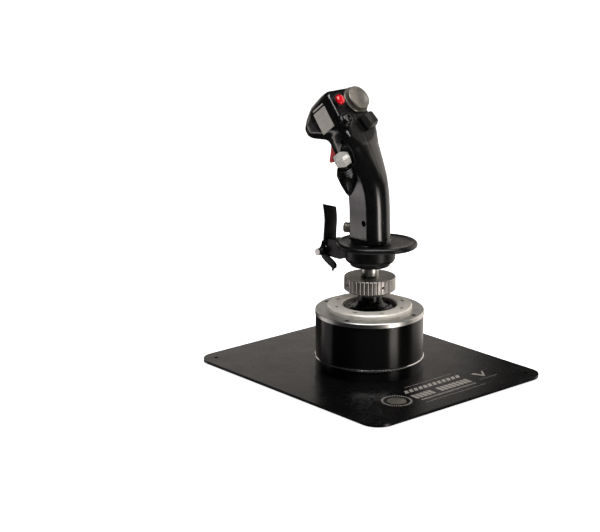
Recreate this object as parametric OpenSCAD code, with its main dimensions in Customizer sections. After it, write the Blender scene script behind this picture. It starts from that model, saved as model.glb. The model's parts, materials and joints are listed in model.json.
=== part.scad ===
// Flight joystick: a plate and drum base with a two-axis gimbal, and a contoured grip on a steel shaft.
// X points to the pilot's right, Y forward and Z up. The origin is under the middle of the base plate.

/* [Base plate] */
// Width of the steel plate, left to right
plate_w = 240; // [220:1:260]
// Length of the steel plate, front to back
plate_l = 279; // [260:1:300]
// Thickness of the steel plate
plate_t = 3; // [2.5:0.5:4]
// Radius of the plate's corners
plate_corner_r = 19; // [15:1:35]
// Height of the rubber feet under the plate
foot_t = 2; // [1.5:0.5:3]

/* [Base drum] */
// Radius of the black tube
drum_r = 56; // [55:0.5:58]
// Height of the casting that stands on the plate
casting_h = 11.5; // [11:0.5:14]
// Height of the bright band between casting and tube
band_h = 2; // [1.5:0.5:3]
// Height of the black tube
tube_h = 44; // [44:0.5:48]
// Thickness of the top flange
flange_t = 4.8; // [4.5:0.1:6]
// Radius of the raised ring that clamps the boot
clamp_ring_r = 44; // [42:0.5:46]
// Height of the raised ring
clamp_ring_t = 5; // [4:0.5:6]
// Radius of the opening that the boot rises through
opening_r = 28.4; // [28:0.1:30]

/* [Gimbal and shaft] */
// Height of the point that the stick pivots about, above the casting's foot
pivot_rise = 44; // [43:0.5:45]
// Radius of the polished shaft
shaft_r = 9.2; // [9:0.1:9.4]
// Radius of the gimbal pins
pin_r = 2.5; // [2:0.25:3]
// Gap between a pin and its bush, at the radius
running_gap = 0.05; // [0.02:0.01:0.08]

/* [Ring nut] */
// Outer radius of the ring nut
nut_r = 26.7; // [26:0.1:27.5]
// Height of the ring nut
nut_h = 15.7; // [15:0.1:17]
// Number of flutes round the ring nut
flute_count = 40; // [32:1:44]

/* [Palm rest] */
// Thickness of the palm rest's lip
rest_t = 5; // [4:0.5:6]
// Radius of the palm rest's round end under the grip
rest_r = 35.4; // [34:0.2:37]
// Radius of the end that carries the heel of the hand
heel_r = 34.7; // [33:0.1:36]

/* [Grip] */
// Wall thickness of the two grip shells
wall = 3; // [2.5:0.25:3.5]
// Angle that the control face leans back from level
face_tilt = 52; // [50:1:54]
// Angle that the control face turns to the pilot's left
face_turn = 4; // [0:1:6]
// Radius of the trim hat's cap
trim_r = 13.2; // [12:0.1:13.4]
// Radius of the red push button
push_r = 5.5; // [4.8:0.1:5.6]
// Radius of the thumb cap on the left side
thumb_r = 9.2; // [8.5:0.1:9.5]

/* [Hidden] */

fine = 96;
medium = 48;
small = 24;

// Levels of the base, from the bottom up
plate_top = foot_t + plate_t;
band_z = plate_top + casting_h;
tube_z = band_z + band_h;
flange_z = tube_z + tube_h;
clamp_z = flange_z + flange_t;
clamp_top = clamp_z + clamp_ring_t;
pivot_z = plate_top + pivot_rise;

// Plan positions on the base plate
corner_hole_x = plate_w / 2 - 15;
corner_hole_y = plate_l / 2 - 15;
corner_hole_r = 2.3;
foot_x = plate_w / 2 - 30;
foot_y = plate_l / 2 - 30;
base_screw_r = 40;
flange_screw_r = 50.5;
clamp_screw_r = 36;

// Levels of the shaft and of what it carries
clamp_neck_z = 80;
clamp_neck_top = 85;
nut_z = 86.6;
nut_top = nut_z + nut_h;
bush_r = 11.5;
thread_r = 20.8;
thread_z = 114;
collar_z = 117;
collar_r = 26;
rest_z = 133.4;
grip_z = 141;
shaft_top = 131;
shaft_bore_r = 5;
heel_x = 10.6;
heel_y = -9.2;

// Gimbal sizes
ring_in = 24;
ring_out = 31;
ring_half_h = 5;
bearing_r = 4;
ear_in = 34;
ear_out = 40;
hub_r = 14;

// Grip sections: height, centre x and y, reach to the left, right, front and back, depth of the flat
SECTIONS = [
    [141, 0.0, 0.5, 19.9, 18.5, 21.5, 23.0, 16.6],
    [146, 0.0, 0.8, 19.6, 18.2, 20.3, 22.5, 16.5],
    [175, -0.3, 1.5, 19.6, 18.2, 19.9, 22.4, 16.4],
    [190, -0.6, 2.6, 19.6, 18.5, 20.4, 22.4, 16.6],
    [205, -1.4, 4.6, 19.8, 18.4, 22.0, 22.3, 17.6],
    [215, -1.9, 7.4, 20.0, 18.6, 25.0, 22.7, 19.4],
    [222, -2.3, 9.8, 20.5, 18.8, 27.5, 22.9, 20.3],
    [230, -2.7, 12.8, 21.5, 19.6, 32.0, 23.4, 21.3],
    [240, -3.0, 16.2, 22.6, 20.8, 36.0, 23.2, 22.4],
    [250, -3.2, 20.4, 22.6, 22.0, 30.0, 20.8, 22.5],
    [258, -3.3, 25.0, 22.0, 21.8, 26.0, 18.0, 22.5]
];
section_power = 2.25;
split_x = -2;

// Control face: a point on it, and the head's outline behind it
face_point = [-4.8, 24.4, 269.8];
head_left = -21;
head_right = 25.2;
HEAD_STATIONS = [
    [0, -17.5, 27, head_left + 2, head_right - 2, 5],
    [-3, -19.5, 29.5, head_left, head_right, 7],
    [-14, -18, 30.8, head_left, head_right, 12],
    [-33, -11, 28.8, head_left, head_right, 11],
    [-46, -3.5, 23.2, head_left + 2, head_right - 4, 10],
    [-57, 4.5, 15.5, head_left + 6, head_right - 9, 4.9]
];
trim_at = [14, 13];
push_at = [-9.3, 15.6];
left_hat_at = [-15.4, -7.8];
right_hat_at = [14.4, -12.7];
hat_pivot = -3.5;

// Thumb hat on the left side
thumb_lean = 25.6;
thumb_turn = 193.4;
thumb_point = [-30, 10.6, 227];
thumb_pivot = -7.5;
neck_z = -10;

// Side button at the front left
side_point = [-8.7, 18.5, 151.2];
side_turn = 120;
side_r = 5.3;

// Trigger and paddle pivots, in y and z
trigger_pivot = [47.5, 247];
trigger_x = -4;
paddle_pivot = [59.6, 118.8];
bracket_left = -11.5;
bracket_right = 2;

// ---------- helpers ----------

module rounded_plate(w, l, r, t) {
    linear_extrude(t)
        for (sx = [-1, 1], sy = [-1, 1])
            union() {
                translate([sx * (w / 2 - r), sy * (l / 2 - r)]) circle(r, $fn = fine);
                translate([sx * w / 4 - w / 4, sy * (l / 4 - r / 2) - (l / 4 - r / 2)])
                    square([w / 2, l / 2 - r]);
                translate([sx * (w / 4 - r / 2) - (w / 4 - r / 2), sy * l / 4 - l / 4])
                    square([w / 2 - r, l / 2]);
            }
}

module ring(r_out, r_in, z, h, fn = fine) {
    translate([0, 0, z])
        difference() {
            cylinder(r = r_out, h = h, $fn = fn);
            translate([0, 0, -1]) cylinder(r = r_in, h = h + 2, $fn = fn);
        }
}

module rod(r, z, h, fn = small) {
    translate([0, 0, z]) cylinder(r = r, h = h, $fn = fn);
}

// Copies its children at equal angles round Z
module round_z(count, first = 0) {
    for (i = [0 : count - 1]) rotate([0, 0, first + i * 360 / count]) children();
}

// A socket-head screw pointing down, with its head's top at z = 0
module screw(r, length, head_r, head_h) {
    difference() {
        union() {
            rod(head_r, -head_h, head_h);
            rod(r, -length, length);
        }
        translate([0, 0, -head_h * 0.6]) cylinder(r = head_r * 0.5, h = head_h, $fn = 6);
    }
}

module along_x() { rotate([0, 90, 0]) children(); }
module along_y() { rotate([-90, 0, 0]) children(); }

// Extrudes a side outline, drawn in y and z, from one x to another
module across(from, to) {
    translate([from, 0, 0]) rotate([90, 0, 90]) linear_extrude(to - from) children();
}

module at_pivot() { translate([0, 0, pivot_z]) children(); }

module at_face(place = [0, 0]) {
    translate(face_point) rotate([face_tilt, 0, face_turn]) translate([place[0], place[1], 0]) children();
}

module at_thumb() {
    translate(thumb_point) rotate([0, thumb_lean, thumb_turn]) children();
}

module at_side_button() {
    translate(side_point) rotate([0, 0, side_turn]) rotate([0, 90, 0]) children();
}

// ---------- base ----------

module base_plate() {
    color([0.06, 0.06, 0.065])
        difference() {
            translate([0, 0, foot_t]) rounded_plate(plate_w, plate_l, plate_corner_r, plate_t);
            for (sx = [-1, 1], sy = [-1, 1])
                translate([sx * corner_hole_x, sy * corner_hole_y, foot_t - 1])
                    cylinder(r = corner_hole_r, h = plate_t + 2, $fn = small);
            round_z(4, 45)
                translate([base_screw_r, 0, foot_t - 1]) cylinder(r = 2.1, h = plate_t + 2, $fn = small);
            round_z(4, 45)
                translate([base_screw_r, 0, foot_t - 1]) cylinder(r = 3.9, h = 2.4, $fn = small);
        }
}

module rubber_feet() {
    color([0.03, 0.03, 0.03])
        for (sx = [-1, 1], sy = [-1, 1])
            translate([sx * foot_x, sy * foot_y, 0]) cylinder(r = 10, h = foot_t, $fn = medium);
}

module plate_screws() {
    color("dimgray")
        round_z(4, 45)
            translate([base_screw_r, 0, foot_t + 0.1])
                rotate([180, 0, 0]) screw(1.7, 6.4, 3.5, 1.2);
}

module lower_casting() {
    floor_t = 4;
    color([0.05, 0.05, 0.055])
        difference() {
            rod(drum_r, plate_top, casting_h, fine);
            rod(drum_r - 6, plate_top + floor_t, casting_h, fine);
            round_z(4, 45) translate([base_screw_r, 0, 0]) rod(1.7, plate_top - 1, floor_t + 2);
            translate([0, 0, plate_top + casting_h / 2]) along_y() rod(4, drum_r - 10, 12, medium);
        }
}

module band_ring() {
    color("silver")
        translate([0, 0, band_z])
            rotate_extrude($fn = fine)
                polygon([
                    [drum_r - 6, 0], [drum_r + 0.6, 0], [drum_r + 1, band_h * 0.3],
                    [drum_r + 1, band_h * 0.7], [drum_r + 0.6, band_h], [drum_r - 6, band_h]
                ]);
}

module drum_tube() {
    color([0.02, 0.02, 0.02]) ring(drum_r, drum_r - 4, tube_z, tube_h);
}

module top_flange() {
    chamfer = 0.6;
    edge_r = drum_r + 0.5;
    color([0.55, 0.55, 0.55])
        difference() {
            translate([0, 0, flange_z])
                rotate_extrude($fn = fine)
                    polygon([
                        [opening_r + 2, 0], [edge_r, 0], [edge_r, flange_t - chamfer],
                        [edge_r - chamfer, flange_t], [opening_r + 2, flange_t]
                    ]);
            rod(opening_r + 5.4, clamp_z - 1.4, 2, fine);
            round_z(4, 20) translate([flange_screw_r, 0, 0]) rod(1.5, flange_z - 1, flange_t + 2);
            round_z(4, 20) translate([flange_screw_r, 0, 0]) rod(2.7, clamp_z - 2, 3);
            round_z(8, 22.5) translate([clamp_screw_r, 0, 0]) rod(1.2, clamp_z - 3, 4);
            round_z(4, 45) translate([flange_screw_r - 8, 0, 0]) rod(1.5, flange_z - 1, 3.4);
        }
}

module flange_screws() {
    color([0.1, 0.1, 0.1])
        round_z(4, 20) translate([flange_screw_r, 0, clamp_z - 0.3]) screw(1.4, 4.4, 2.5, 1.6);
}

module clamp_ring() {
    bevel = 1.2;
    slot_l = 6;
    slot_w = 3.2;
    color([0.8, 0.77, 0.72])
        difference() {
            translate([0, 0, clamp_z])
                rotate_extrude($fn = fine)
                    polygon([
                        [opening_r, 0], [clamp_ring_r, 0], [clamp_ring_r, clamp_ring_t - bevel],
                        [clamp_ring_r - bevel, clamp_ring_t], [opening_r + 0.8, clamp_ring_t],
                        [opening_r, clamp_ring_t - 0.8]
                    ]);
            round_z(8, 22.5) translate([clamp_screw_r, 0, 0]) rod(1.3, clamp_z - 1, clamp_ring_t + 2);
            round_z(8, 22.5)
                translate([clamp_screw_r, 0, clamp_top - 2])
                    for (s = [-1, 1])
                        translate([0, s * (slot_l - slot_w) / 2, 0]) cylinder(r = slot_w / 2, h = 3, $fn = small);
            round_z(8, 22.5)
                translate([clamp_screw_r - slot_w / 2, -(slot_l - slot_w) / 2, clamp_top - 2])
                    cube([slot_w, slot_l - slot_w, 3]);
        }
}

module clamp_ring_screws() {
    color([0.12, 0.12, 0.12])
        round_z(8, 22.5) translate([clamp_screw_r, 0, clamp_top - 1.1]) screw(1.15, 6.1, 1.5, 0.8);
}

module cable_gland() {
    color([0.05, 0.05, 0.05])
        translate([0, 0, plate_top + casting_h / 2])
            along_y()
                difference() {
                    union() {
                        rod(4, drum_r - 9, 10, medium);
                        rod(5, drum_r, 4, medium);
                        rod(3.8, drum_r + 4, 4, medium);
                    }
                    rod(2.6, drum_r - 10, 20, medium);
                }
}

// ---------- gimbal ----------

module gimbal_frame() {
    bar_w = 12;
    ring_t = 4;
    color([0.35, 0.35, 0.37])
        difference() {
            union() {
                ring(46, 33, flange_z - ring_t, ring_t);
                for (s = [0, 180])
                    rotate([0, 0, s])
                        translate([ear_in, -bar_w / 2, pivot_z - 6])
                            cube([ear_out - ear_in, bar_w, flange_z - pivot_z + 6]);
            }
            at_pivot() along_x() translate([0, 0, -50]) cylinder(r = bearing_r, h = 100, $fn = medium);
            round_z(4, 45) translate([flange_screw_r - 8, 0, 0]) rod(1.5, flange_z - ring_t - 1, ring_t + 2);
        }
}

module pair_of_bushes(from, to) {
    for (s = [0, 180])
        rotate([0, 0, s])
            along_x()
                difference() {
                    rod(bearing_r, from, to - from, medium);
                    rod(pin_r + running_gap, from - 1, to - from + 2, medium);
                }
}

module pitch_bearings() {
    color("goldenrod") at_pivot() pair_of_bushes(ear_in, ear_out);
}

module roll_bearings() {
    color("goldenrod") at_pivot() rotate([0, 0, 90]) pair_of_bushes(ring_in + 0.5, ring_out - 0.5);
}

module gimbal_ring() {
    color([0.45, 0.45, 0.47])
        at_pivot()
            difference() {
                ring(ring_out, ring_in, -ring_half_h, 2 * ring_half_h);
                along_x() rod(pin_r, -50, 100, medium);
                along_y() rod(bearing_r, -50, 100, medium);
            }
}

module pitch_pins() {
    color("silver")
        at_pivot() for (s = [0, 180]) rotate([0, 0, s]) along_x() rod(pin_r, ring_in + 1, 14.5, medium);
}

module roll_pins() {
    color("silver")
        at_pivot() for (s = [90, 270]) rotate([0, 0, s]) along_x() rod(pin_r, 10.5, 20, medium);
}

module stick_hub() {
    color([0.4, 0.4, 0.42])
        difference() {
            union() {
                rod(hub_r, pivot_z - 9, 18, medium);
                rod(5, pivot_z - 14, 6, medium);
            }
            rod(shaft_r, pivot_z - 7, 20, medium);
            rod(3, pivot_z - 20, 16, medium);
            at_pivot() along_y() for (s = [-1, 1]) rod(pin_r, s > 0 ? 10 : -15, 5, medium);
        }
}

module shaft() {
    color([0.75, 0.74, 0.72])
        difference() {
            rod(shaft_r, pivot_z - 7, shaft_top - pivot_z + 7, fine);
            rod(shaft_bore_r, pivot_z - 8, shaft_top - pivot_z + 9, medium);
            rod(7, shaft_top - 12, 13, medium);
        }
}

module spring_cap() {
    color([0.3, 0.3, 0.3]) ring(21, 5, pivot_z - 13, 3.9, medium);
}

// A round wire wound along a helix, as one closed tube
module coil(r, wire_r, z0, z1, turns) {
    steps = 14;
    sides = 8;
    n = turns * steps;
    points = [
        for (i = [0 : n], j = [0 : sides - 1])
            let (turn = 360 * i / steps, a = 360 * j / sides, rr = r + wire_r * cos(a))
                [rr * cos(turn), rr * sin(turn), z0 + (z1 - z0) * i / n + wire_r * sin(a)]
    ];
    walls = [
        for (i = [0 : n - 1], j = [0 : sides - 1])
            let (k = (j + 1) % sides)
                [i * sides + j, i * sides + k, (i + 1) * sides + k, (i + 1) * sides + j]
    ];
    ends = [
        [for (j = [sides - 1 : -1 : 0]) j],
        [for (j = [0 : sides - 1]) n * sides + j]
    ];
    polyhedron(points = points, faces = concat(walls, ends), convexity = 10);
}

module centring_spring() {
    wire_r = 1.3;
    color("silver")
        coil(17.5, wire_r, plate_top + 13 + wire_r, pivot_z - 13.1 - wire_r, 3);
}

module spring_seat() {
    color([0.2, 0.2, 0.2])
        difference() {
            rod(22, plate_top + 4, 9, medium);
            rod(14, plate_top + 3, 12, medium);
        }
}

module sensor_board() {
    color([0.05, 0.25, 0.12])
        union() {
            rod(11, plate_top + 8, 1.6, medium);
            round_z(3) translate([8, 0, 0]) rod(1.6, plate_top + 4, 4.2);
            translate([-2.5, -2.5, plate_top + 9.4]) cube([5, 5, 1.2]);
        }
}

module sensor_magnet() {
    color([0.6, 0.6, 0.6]) rod(3, pivot_z - 15.5, 8, medium);
}

// ---------- boot, nut and collars ----------

module boot_outer() {
    t = 1.2;
    z = clamp_z - 1.4;
    color([0.02, 0.02, 0.02])
        rotate_extrude($fn = medium)
            polygon([
                [opening_r + 5.2, z], [opening_r + 5.2, z + 1.3], [opening_r - 0.6, z + 1.3],
                [24, z + 3.4], [22, z + 4.6], [20, z + 4.4], [20, z + 4.4 - t],
                [22, z + 4.6 - t], [24, z + 3.2 - t], [opening_r - 1.2, z]
            ]);
}

module boot_inner() {
    t = 1.2;
    z = clamp_z - 1.4;
    color([0.02, 0.02, 0.02])
        rotate_extrude($fn = medium)
            polygon([
                [19.9, z + 4.4], [16, z + 5.6], [13, z + 9], [12, clamp_neck_z],
                [12, clamp_neck_z + 2], [shaft_r + 0.2, clamp_neck_z + 2], [shaft_r + 0.2, z + 9],
                [13.5, z + 5.6 - t], [16, z + 4.4 - t], [19.9, z + 4.4 - t]
            ]);
}

module boot_clamp() {
    color([0.1, 0.1, 0.1]) ring(12.6, shaft_r, clamp_neck_z + 2, clamp_neck_top - clamp_neck_z - 2, medium);
}

module nut_bush() {
    color("dimgray")
        translate([0, 0, clamp_neck_top + 0.3])
            difference() {
                union() {
                    cylinder(r = bush_r, h = 9.2, $fn = medium);
                    cylinder(r = 15, h = 0.95, $fn = medium);
                }
                translate([0, 0, -1]) cylinder(r = shaft_r + running_gap, h = 12, $fn = medium);
            }
}

module ring_nut() {
    foot_r = 23.4;
    full_r_z = 2.4;
    lid_z = 8.4;
    crown = 0.6;
    color([0.5, 0.5, 0.49])
        translate([0, 0, nut_z])
            difference() {
                rotate_extrude($fn = fine)
                    polygon([
                        [bush_r + running_gap, 0], [foot_r, 0], [nut_r, full_r_z],
                        [nut_r, nut_h - crown], [nut_r - crown, nut_h], [shaft_r + running_gap, nut_h],
                        [shaft_r + running_gap, lid_z], [bush_r + running_gap, lid_z]
                    ]);
                round_z(flute_count)
                    translate([nut_r + 0.5, 0, -1]) cylinder(r = 1.15, h = nut_h + 2, $fn = 16);
                round_z(4, -12) translate([0, 0, 9]) along_x() rod(1.6, thread_r + 2, 8);
            }
}

module connector_socket() {
    color([0.08, 0.08, 0.08])
        difference() {
            rod(7, shaft_top - 12, 11, medium);
            round_z(5) translate([3.6, 0, 0]) rod(0.8, shaft_top - 6, 8);
            translate([-0.8, 5, shaft_top - 6]) cube([1.6, 1.4, 8]);
        }
}

module threaded_collar() {
    groove = 0.5;
    pitch = 1.2;
    color([0.06, 0.06, 0.06])
        translate([0, 0, thread_z])
            rotate_extrude($fn = fine)
                polygon([
                    [shaft_r, 0], [thread_r - 0.6 - groove, 0], [thread_r - 0.3, 0.5], [thread_r - 0.3 - groove, 1.1],
                    [thread_r - 0.3, 0.5 + pitch], [thread_r - 0.3 - groove, 1.1 + pitch],
                    [thread_r - 0.3 - groove, collar_z - thread_z], [shaft_r, collar_z - thread_z]
                ]);
}

module grip_collar() {
    edge = 6;
    color([0.04, 0.04, 0.04])
        difference() {
            translate([0, 0, collar_z])
                rotate_extrude($fn = fine)
                    union() {
                        translate([shaft_r, 0]) square([collar_r - edge - shaft_r, rest_z - collar_z]);
                        translate([shaft_r, edge]) square([collar_r - shaft_r, rest_z - collar_z - edge]);
                        translate([collar_r - edge, edge]) circle(edge, $fn = small);
                    }
            round_z(3, 60) translate([15, 0, 0]) rod(1.8, collar_z - 1, rest_z - collar_z + 2);
        }
}

module palm_rest() {
    lip = rest_t / 2;
    color([0.04, 0.04, 0.04])
        difference() {
            union() {
                hull() {
                    for (end = [[0, 0, rest_r], [heel_x, heel_y, heel_r]])
                        translate([end[0], end[1], rest_z + lip])
                            rotate_extrude($fn = 32) translate([end[2] - lip, 0]) circle(lip, $fn = 12);
                }
                hull() {
                    translate([0, 2, rest_z + 1]) cylinder(r = 20.5, h = grip_z - rest_z - 1, $fn = medium);
                    translate([0, -2, rest_z + 1]) cylinder(r = 20.5, h = grip_z - rest_z - 1, $fn = medium);
                }
            }
            hull() {
                translate([0, 0, rest_z - 0.6]) cylinder(r = rest_r - 6, h = 0.6, $fn = 32);
                translate([heel_x, heel_y, rest_z - 0.6]) cylinder(r = heel_r - 6, h = 0.6, $fn = 32);
            }
            rod(shaft_r, rest_z - 1, 20, medium);
            round_z(3, 60) translate([15, 0, 0]) rod(1.8, rest_z - 1, 20);
        }
}

// ---------- grip ----------

function superellipse(c, s, left, right, front, back) =
    let (
        x = (c >= 0 ? right : -left) * pow(abs(c), 2 / section_power),
        y = (s >= 0 ? front : -back) * pow(abs(s), 2 / section_power)
    ) [x, y];

// One ring of the grip, shrunk by inset, with its left side cut flat
function grip_ring(row, inset, count) =
    [
        for (i = [0 : count - 1])
            let (
                a = 360 * i / count,
                p = superellipse(cos(a), sin(a), row[3] - inset, row[4] - inset, row[5] - inset, row[6] - inset)
            )
                [row[1] + max(p[0], inset - row[7]), row[2] + p[1], row[0]]
    ];

module loft(rings) {
    n = len(rings[0]);
    m = len(rings);
    points = [for (r = rings, p = r) p];
    walls = [
        for (i = [0 : m - 2], j = [0 : n - 1])
            let (k = (j + 1) % n)
                each [
                    [i * n + j, (i + 1) * n + j, (i + 1) * n + k],
                    [i * n + j, (i + 1) * n + k, i * n + k]
                ]
    ];
    ends = [[for (j = [0 : n - 1]) j], [for (j = [n - 1 : -1 : 0]) (m - 1) * n + j]];
    polyhedron(points = points, faces = concat(walls, ends), convexity = 6);
}

// The head behind the control face: one rounded block through its stations
module head_block(inset) {
    at_face()
        hull()
            for (s = HEAD_STATIONS)
                for (x = [s[3] + s[5], s[4] - s[5]], y = [s[1] + s[5], s[2] - s[5]])
                    translate([x, y, s[0] + (s[0] > -40 ? -inset : inset)])
                        cylinder(r = s[5] - inset * 0.99, h = 0.02, $fn = 20, center = true);
}

module grip_body(inset, count, z_shift) {
    loft([
        for (row = SECTIONS)
            grip_ring([row[0] + z_shift, row[1], row[2], row[3], row[4], row[5], row[6], row[7]], inset, count)
    ]);
    head_block(inset);
}

module grip_bores() {
    at_face(trim_at) rod(6.15, -12, 14);
    at_face(push_at) rod(6.75, -12, 14);
    at_face(left_hat_at) rod(5.15, -11, 13);
    at_face(right_hat_at) rod(5.15, -11, 13);
    // the control face stays level under the hats, and the thumb cap has a scoop beside it
    at_face() translate([head_left - 9, -26, 0]) cube([60, 60, 30]);
    at_thumb() translate([0, 0, -6.4]) cylinder(r1 = thumb_r + 1.4, r2 = thumb_r + 2.6, h = 24, $fn = medium);
    at_face() head_plate_blocks();
    at_side_button() rod(side_r + 0.3, -3.1, 12);
    at_thumb() rod(6, -32, 30);
    // slot that the trigger swings in
    translate([trigger_x - 4.6, trigger_pivot[0] - 8, trigger_pivot[1] - 24]) cube([9.2, 22, 30]);
    translate([-30, trigger_pivot[0], trigger_pivot[1]]) along_x() rod(1.55, 18, 22);
    // grip screws enter from the left
    for (p = GRIP_SCREWS) translate([-40, p[0], p[1]]) along_x() rod(p[3], 0, 40 + p[2]);
    for (p = GRIP_SCREWS) translate([-40, p[0], p[1]]) along_x() rod(1.3, 0, 52);
    // cable way and collar screws
    rod(shaft_r, grip_z - 1, 6, medium);
    round_z(3, 60) translate([15, 0, 0]) rod(1.3, grip_z - 1, 12);
}

// y, z, depth of the head's seat in x, and radius of the hole over the head
GRIP_SCREWS = [[-7.5, 161.7, -11.5, 3.2], [15.5, 243, -21.5, 2.2], [38, 262, -22.5, 2.6]];

// Solid bosses inside the hollow shells
module grip_bosses() {
    intersection() {
        grip_body(1.2, 24, 0);
        union() {
            for (p = GRIP_SCREWS) translate([-28, p[0], p[1]]) along_x() rod(4.6, 0, 52);
            rod(26, grip_z, 10, medium);
            at_face(trim_at) rod(8.5, -11, 10);
            at_face(push_at) rod(8.5, -11, 10);
            at_face(left_hat_at) rod(7, -10, 9);
            at_face(right_hat_at) rod(7, -10, 9);
            at_side_button() rod(side_r + 2.4, -10, 12);
            at_thumb() rod(8, -34, 22);
            translate([trigger_x - 8, trigger_pivot[0] - 11, trigger_pivot[1] - 22]) cube([16, 20, 28]);
        }
    }
}

module grip_shell(side) {
    difference() {
        intersection() {
            union() {
                difference() {
                    grip_body(0, 48, 0);
                    grip_body(wall, 24, 2);
                }
                grip_bosses();
            }
            translate([side < 0 ? split_x - 60 : split_x, -60, grip_z]) cube([60, 180, 180]);
        }
        grip_bores();
    }
}

module grip_left_shell() { color([0.05, 0.05, 0.05]) grip_shell(-1); }

module grip_right_shell() { color([0.05, 0.05, 0.05]) grip_shell(1); }

module grip_screws() {
    color("dimgray")
        for (p = GRIP_SCREWS)
            translate([p[2], p[0], p[1]])
                rotate([0, -90, 0]) translate([0, 0, 1.6]) screw(1.25, 20, p[3] - 0.3, 1.6);
}

module head_plate_blocks() {
    translate([head_left - 0.7, -6.3, -28.8]) cube([0.9, 23.6, 18.6]);
    translate([head_left - 0.6, 19.2, -27.6]) cube([0.8, 1.6, 16.8]);
}

// Light plate let into the left side of the head, with a narrow strip above it
module head_plate() {
    color([0.6, 0.58, 0.55]) at_face() head_plate_blocks();
}

// ---------- hats ----------

// The fixed cup of a hat, with bores for the cross's pins along its own x
module hat_cup(r) {
    pin = 0.8;
    difference() {
        rod(r, hat_pivot - 5, 7.6, medium);
        rod(r - 1.2, hat_pivot - 3.8, 9, medium);
        translate([0, 0, hat_pivot]) along_x() rod(pin + running_gap, -r - 1, 2 * r + 2);
    }
}

// The cross that lets a cap tilt two ways
module hat_cross(r) {
    pin = 0.8;
    translate([0, 0, hat_pivot]) {
        translate([-1.5, -1.4, -1.4]) cube([3, 2.8, 2.8]);
        along_x() rod(pin, -r + 0.2, 2 * r - 0.4);
        along_y() rod(pin, -2.8, 5.6);
    }
}

// The fork under a cap, with bores for the cross's other pins
module hat_fork(height) {
    pin = 0.8;
    difference() {
        union() {
            for (s = [-1, 1])
                translate([-1.3, s * 2.25 - 0.55, hat_pivot - 1.4]) cube([2.6, 1.1, 4.4 + height]);
            rod(3, -0.4, height);
        }
        translate([0, 0, hat_pivot]) along_y() rod(pin + running_gap, -5, 10);
    }
}

module hat_bases() {
    color([0.08, 0.08, 0.08]) {
        at_face(trim_at) hat_cup(6);
        at_face(left_hat_at) hat_cup(5);
        at_face(right_hat_at) hat_cup(5);
    }
}

module trim_surround() {
    color([0.5, 0.49, 0.47])
        at_face(trim_at)
            rotate_extrude($fn = fine)
                polygon([[6.2, 0], [14.7, 0], [14.9, 0.8], [14.3, 1.5], [13.4, 1.1], [6.2, 0.6]]);
}

module trim_cap() {
    rim = 3.6;
    color([0.45, 0.43, 0.4])
        at_face(trim_at)
            union() {
                hat_fork(3.9);
                rotate_extrude($fn = fine)
                    polygon([
                        [0, 3.3], [trim_r - 3, 3.3], [trim_r - 0.8, rim], [trim_r, rim + 0.9],
                        [trim_r - 0.1, rim + 1.9], [trim_r - 0.9, rim + 2.8], [trim_r - 2.6, rim + 3.1],
                        [7.6, rim + 2.1], [3.5, rim + 1.3], [0, rim + 1.1]
                    ]);
            }
}

module trim_cross() { color("silver") at_face(trim_at) hat_cross(6); }

module left_hat_cross() { color("silver") at_face(left_hat_at) hat_cross(5); }

module right_hat_cross() { color("silver") at_face(right_hat_at) hat_cross(5); }

// A low black hat with four raised ends round a dished middle
module left_hat_cap() {
    cap_r = 7.6;
    color([0.05, 0.05, 0.05])
        at_face(left_hat_at)
            difference() {
                union() {
                    hat_fork(2.4);
                    rod(cap_r, 1.8, 3.2, medium);
                    round_z(4) translate([5.4, 0, 0]) rod(2.1, 2, 4.8);
                }
                translate([0, 0, 12.4]) sphere(r = 8.2, $fn = medium);
            }
}

// A black hat shaped as a blunt pyramid
module right_hat_cap() {
    base = 11.4;
    top = 8.4;
    turn = 58;
    color([0.07, 0.07, 0.07])
        at_face(right_hat_at) {
            hat_fork(2.6);
            translate([0, 0, 2.1])
                rotate([0, 0, turn]) cylinder(r1 = base + 0.3, r2 = base, h = 1.3, $fn = 4);
            translate([0, 0, 3.35])
                rotate([0, 0, turn]) cylinder(r1 = base, r2 = top, h = 5.4, $fn = 4);
        }
}

module push_collar() {
    color([0.06, 0.06, 0.06])
        at_face(push_at)
            rotate_extrude($fn = medium)
                polygon([
                    [push_r + 0.3, -8], [6.6, -8], [6.6, 0], [8.1, 0], [8, 1.6], [7.4, 2.4],
                    [push_r + 0.3, 2.2]
                ]);
}

module red_button() {
    color([0.75, 0.03, 0.05])
        at_face(push_at)
            union() {
                rod(push_r, -5, 7.2, medium);
                intersection() {
                    translate([0, 0, -1.2]) sphere(r = 6.2, $fn = medium);
                    rod(push_r, 2.1, 4, medium);
                }
            }
}

// ---------- thumb hat, side button ----------

module thumb_housing() {
    color([0.05, 0.05, 0.05])
        difference() {
            at_thumb()
                union() {
                    rotate_extrude($fn = medium)
                        polygon([
                            [0, neck_z], [7, neck_z], [8.2, neck_z - 0.8], [7.4, neck_z - 1.7], [8.9, neck_z - 2.6],
                            [10.1, neck_z - 6], [9.6, neck_z - 12], [7.6, neck_z - 24], [5, neck_z - 33], [0, neck_z - 37]
                        ]);
                }
            at_thumb() rod(5.4, neck_z - 9, 12, medium);
            difference() {
                grip_body(0, 48, 0);
                at_thumb() rod(5.95, -31.9, 30, medium);
            }
        }
}

module thumb_plunger() {
    color([0.15, 0.15, 0.15])
        at_thumb()
            difference() {
                rod(5.35, neck_z - 6.5, 11, medium);
                rod(4, thumb_pivot - 3.2, 12, medium);
                translate([0, 0, thumb_pivot]) along_x() rod(0.8 + running_gap, -7, 14);
            }
}

module thumb_cross() {
    color("silver") at_thumb() translate([0, 0, thumb_pivot - hat_pivot]) hat_cross(5.35);
}

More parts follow.
